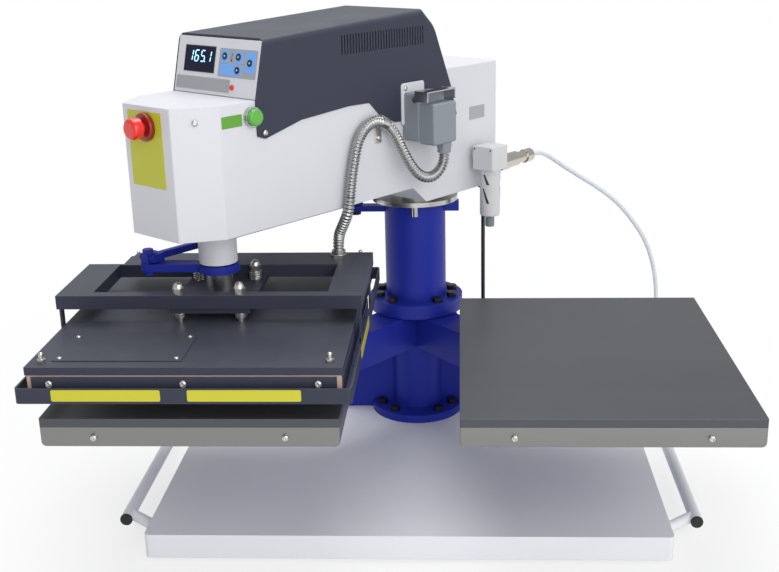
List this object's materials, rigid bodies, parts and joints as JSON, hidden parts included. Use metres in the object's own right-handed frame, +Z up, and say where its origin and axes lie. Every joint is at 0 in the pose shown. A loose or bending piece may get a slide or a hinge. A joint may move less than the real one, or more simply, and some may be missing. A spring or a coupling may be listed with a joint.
{
  "type": "pneumatic heat press",
  "caption": "Pneumatic heat press with a head that swings its heater between lower platens on either side of a central column, driven down by an air cylinder",
  "frame": {"origin": "On the table, under the axis of the swing column", "axes": "+Z up, +Y to the back of the machine, +X to the right of someone who stands in front"},
  "size_m": [1.097, 0.946, 0.775],
  "materials": {
    "white_paint": "semi-gloss powder coat",
    "base_paint": "satin powder coat",
    "blue_paint": "gloss paint",
    "slate_paint": "satin powder coat",
    "black_steel": "blackened",
    "bright_steel": "turned",
    "cylinder_alloy": "anodised",
    "heater_alloy": "milled",
    "silicone_pad": "matt silicone",
    "insulation_board": "matt board",
    "black_rubber": "matt",
    "black_plastic": "satin",
    "grey_plastic": "satin",
    "red_plastic": "gloss",
    "dark_red_plastic": "gloss",
    "green_plastic": "gloss",
    "dark_glass": "clear window over a dark display",
    "nickel": "nickel plate",
    "conduit_steel": "galvanised",
    "hose_plastic": "satin, pale and cloudy",
    "platen_steel": "ground",
    "label_yellow": "plain foil",
    "label_green": "plain foil",
    "label_grey": "plain foil",
    "keypad_blue": "plain foil",
    "display_light": "lit segments"
  },
  "bodies": {
    "base": {"base_tray": "base_paint", "base_feet": "black_rubber", "side_rails": "base_paint", "rail_end_caps": "black_rubber", "column_foot": "blue_paint", "base_fixings": "black_steel", "column_tube": "blue_paint", "anchor_bolt": "black_steel", "swing_spindle": "bright_steel", "platen_left": "platen_steel", "platen_right": "platen_steel", "platen_pad_left": "silicone_pad", "platen_pad_right": "silicone_pad", "hose": "hose_plastic", "hose_coil": "hose_plastic", "hose_nipple": "nickel", "mains_cable": "black_rubber", "mains_coil": "black_rubber", "mains_plug": "black_plastic"},
    "head": {"head_shell": "white_paint", "hood": "slate_paint", "display_panel": "white_paint", "display_window": "dark_glass", "indicator_lamp": "red_plastic", "swing_hub": "bright_steel", "press_cylinder": "cylinder_alloy", "rod_cover": "white_paint", "estop_base": "dark_red_plastic", "start_bezel": "nickel", "connector_base": "grey_plastic", "connector_hood": "grey_plastic", "conduit_upper": "conduit_steel", "filter_body": "grey_plastic", "filter_bowl": "grey_plastic", "air_fittings": "nickel", "head_fixings": "bright_steel", "mains_gland": "black_plastic"},
    "estop_plunger": {"estop_stem": "red_plastic"},
    "estop_cap": {"estop_head": "red_plastic"},
    "start_cap": {"start_button": "green_plastic"},
    "key_cap_1": {"key_1": "black_plastic"},
    "key_cap_2": {"key_2": "black_plastic"},
    "key_cap_3": {"key_3": "black_plastic"},
    "key_cap_4": {"key_4": "black_plastic"},
    "lever": {"connector_lever": "nickel"},
    "drain": {"filter_drain": "grey_plastic"},
    "turn": {"turn_bush": "bright_steel"},
    "press": {"piston_rod": "bright_steel", "rod_arm": "blue_paint", "upper_frame": "slate_paint", "guard_rail": "slate_paint", "heater_cover": "slate_paint", "insulation": "insulation_board", "heater_plate": "heater_alloy", "heater_panels": "slate_paint", "heater_bolts": "bright_steel", "frame_gland": "nickel", "conduit_lower": "conduit_steel"},
    "fork": {"elbow_fork": "blue_paint"},
    "link": {"parallel_link": "blue_paint"}
  },
  "joints": [
    {"name": "head_swing", "type": "hinge", "parent": "base", "child": "head", "pos_m": [0, 0, 0.5], "axis": [0, 0, 1], "range_deg": [0, 76.32], "deforming": ["hose", "mains_cable"]},
    {"name": "heater_turn", "type": "hinge", "parent": "head", "child": "turn", "pos_m": [-0.279, -0.355, 0.5], "axis": [0, 0, 1], "range_deg": [-76.32, 0], "deforming": ["conduit_upper"]},
    {"name": "press_stroke", "type": "slide", "parent": "turn", "child": "press", "axis": [0, 0, -1], "range_m": [0, 0.0337], "stiffness_N_per_m": 3000, "springref_m": -0.16, "deforming": ["conduit_lower"]},
    {"name": "elbow_turn", "type": "hinge", "parent": "press", "child": "fork", "pos_m": [-0.384, -0.355, 0.436], "axis": [0, 0, 1], "range_deg": [0, 76.32]},
    {"name": "link_tilt", "type": "hinge", "parent": "fork", "child": "link", "pos_m": [-0.384, -0.355, 0.436], "axis": [0.7862, -0.6179, 0], "range_deg": [0, 4.3]},
    {"name": "estop_push", "type": "slide", "parent": "head", "child": "estop_plunger", "axis": [0.6179, 0.7862, 0], "range_m": [0, 0.005], "stiffness_N_per_m": 400, "springref_m": -0.002},
    {"name": "estop_twist", "type": "hinge", "parent": "estop_plunger", "child": "estop_cap", "pos_m": [-0.3553, -0.45209, 0.647], "axis": [0.6179, 0.7862, 0], "range_deg": [0, 30], "stiffness_Nm_per_rad": 0.05},
    {"name": "start_push", "type": "slide", "parent": "head", "child": "start_cap", "axis": [-0.7862, 0.6179, 0], "range_m": [0, 0.003], "stiffness_N_per_m": 600, "springref_m": -0.001},
    {"name": "connector_lever_turn", "type": "hinge", "parent": "head", "child": "lever", "pos_m": [0.03087, -0.14763, 0.64], "axis": [-0.6179, -0.7862, 0], "range_deg": [0, 90]},
    {"name": "filter_drain_turn", "type": "hinge", "parent": "head", "child": "drain", "pos_m": [0.13221, -0.02759, 0.406], "axis": [0, 0, 1], "range_deg": [0, 90]},
    {"name": "key_1_push", "type": "slide", "parent": "head", "child": "key_cap_1", "axis": [0.6007, 0.7644, -0.2343], "range_m": [0, 0.0008], "stiffness_N_per_m": 800, "springref_m": -0.0005},
    {"name": "key_2_push", "type": "slide", "parent": "head", "child": "key_cap_2", "axis": [0.6007, 0.7644, -0.2343], "range_m": [0, 0.0008], "stiffness_N_per_m": 800, "springref_m": -0.0005},
    {"name": "key_3_push", "type": "slide", "parent": "head", "child": "key_cap_3", "axis": [0.6007, 0.7644, -0.2343], "range_m": [0, 0.0008], "stiffness_N_per_m": 800, "springref_m": -0.0005},
    {"name": "key_4_push", "type": "slide", "parent": "head", "child": "key_cap_4", "axis": [0.6007, 0.7644, -0.2343], "range_m": [0, 0.0008], "stiffness_N_per_m": 800, "springref_m": -0.0005}
  ],
  "couplings": [
    {"joint": "heater_turn", "follows": "head_swing", "ratio": -1},
    {"joint": "elbow_turn", "follows": "head_swing", "ratio": 1},
    {"joint": "link_tilt", "follows": "press_stroke", "rad_per_m": 2.2148}
  ]
}
